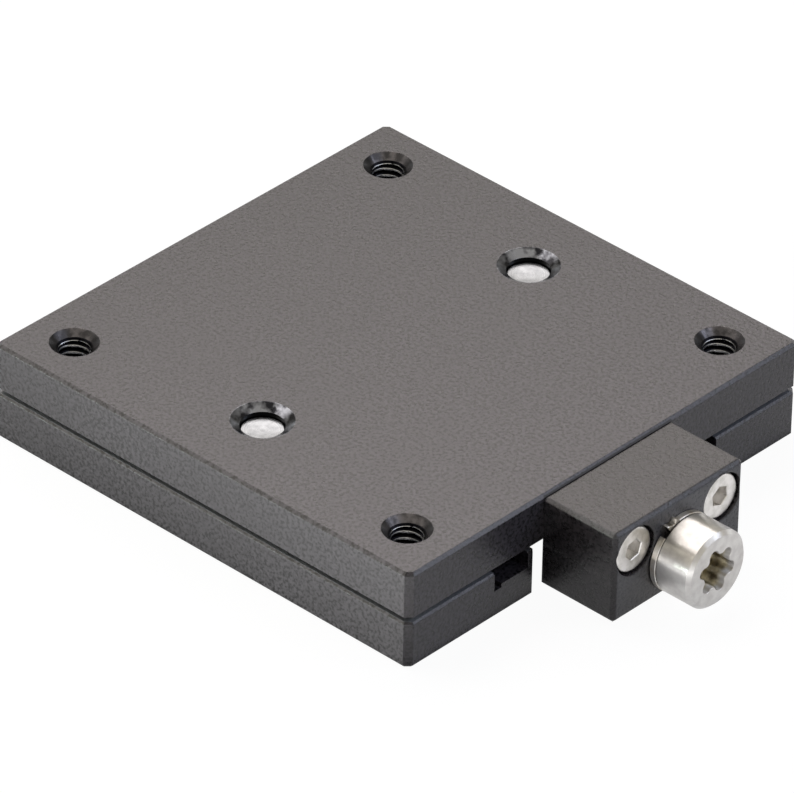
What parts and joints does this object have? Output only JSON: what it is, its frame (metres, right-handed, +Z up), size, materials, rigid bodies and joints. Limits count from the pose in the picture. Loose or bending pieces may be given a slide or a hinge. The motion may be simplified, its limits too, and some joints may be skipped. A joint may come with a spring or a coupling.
{
  "type": "manual linear stage",
  "caption": "Flat square slide table on a ball guide, moved along one axis by a feed screw with a six-lobed socket in a front bracket.",
  "frame": {"origin": "centre of the base plate's underside, with the table at the middle of its travel", "axes": "+X along the travel, towards the feed screw's head; +Y across the stage; +Z up, out of the table's face"},
  "size_m": [0.0628, 0.05, 0.0099],
  "materials": {
    "black_anodised_plate": "bead blasted, black anodised",
    "black_anodised_bracket": "bead blasted, black anodised",
    "rail_steel": "ground",
    "bearing_steel": "polished",
    "cage_brass": "rolled and punched",
    "nut_bronze": "turned and milled",
    "feed_screw_steel": "turned, nickel plated",
    "bright_cap_screw": "cold headed, nickel plated",
    "spring_steel": "punched, bright",
    "pin_steel": "ground and chamfered",
    "black_oxide_screw": "black oxide",
    "small_slotted_screw": "turned, nickel plated"
  },
  "bodies": {
    "base": {"base_plate": "black_anodised_plate", "base_rail_left": "rail_steel", "base_rail_right": "rail_steel", "base_rail_screws": "black_oxide_screw", "base_rail_end_plates": "spring_steel", "base_rail_end_screws": "small_slotted_screw", "feed_nut": "nut_bronze", "nut_screws": "black_oxide_screw"},
    "table": {"table_plate": "black_anodised_plate", "table_rail_left": "rail_steel", "table_rail_right": "rail_steel", "table_rail_screws": "small_slotted_screw", "table_rail_end_plates": "spring_steel", "table_rail_end_screws": "small_slotted_screw", "feed_bracket": "black_anodised_bracket", "bracket_screws": "bright_cap_screw", "stop_pins": "pin_steel", "spring_washer": "spring_steel", "thrust_washer": "nut_bronze", "lock_pad": "nut_bronze"},
    "feed_screw": {"feed_screw": "feed_screw_steel", "retaining_ring": "spring_steel"},
    "lock_screw": {"lock_screw": "black_oxide_screw"},
    "left_cage": {"ball_cage_left": "cage_brass", "bearing_balls_left": "bearing_steel"},
    "right_cage": {"ball_cage_right": "cage_brass", "bearing_balls_right": "bearing_steel"}
  },
  "joints": [
    {"name": "table_slide", "type": "slide", "parent": "base", "child": "table", "axis": [1, 0, 0], "range_m": [-0.005, 0.005]},
    {"name": "feed_turn", "type": "hinge", "parent": "table", "child": "feed_screw", "pos_m": [0.0341, 0, 0.00425], "axis": [1, 0, 0], "range_deg": [-3600, 3600]},
    {"name": "left_cage_slide", "type": "slide", "parent": "base", "child": "left_cage", "axis": [1, 0, 0], "range_m": [-0.0025, 0.0025]},
    {"name": "right_cage_slide", "type": "slide", "parent": "base", "child": "right_cage", "axis": [1, 0, 0], "range_m": [-0.0025, 0.0025]},
    {"name": "lock_turn", "type": "hinge", "parent": "table", "child": "lock_screw", "pos_m": [0.0291, 0.0061, 0.00425], "axis": [0, -1, 0], "range_deg": [-90, 30]}
  ],
  "couplings": [
    {"joint": "feed_turn", "follows": "table_slide", "rad_per_m": 12566},
    {"joint": "left_cage_slide", "follows": "table_slide", "ratio": 0.5},
    {"joint": "right_cage_slide", "follows": "table_slide", "ratio": 0.5}
  ]
}
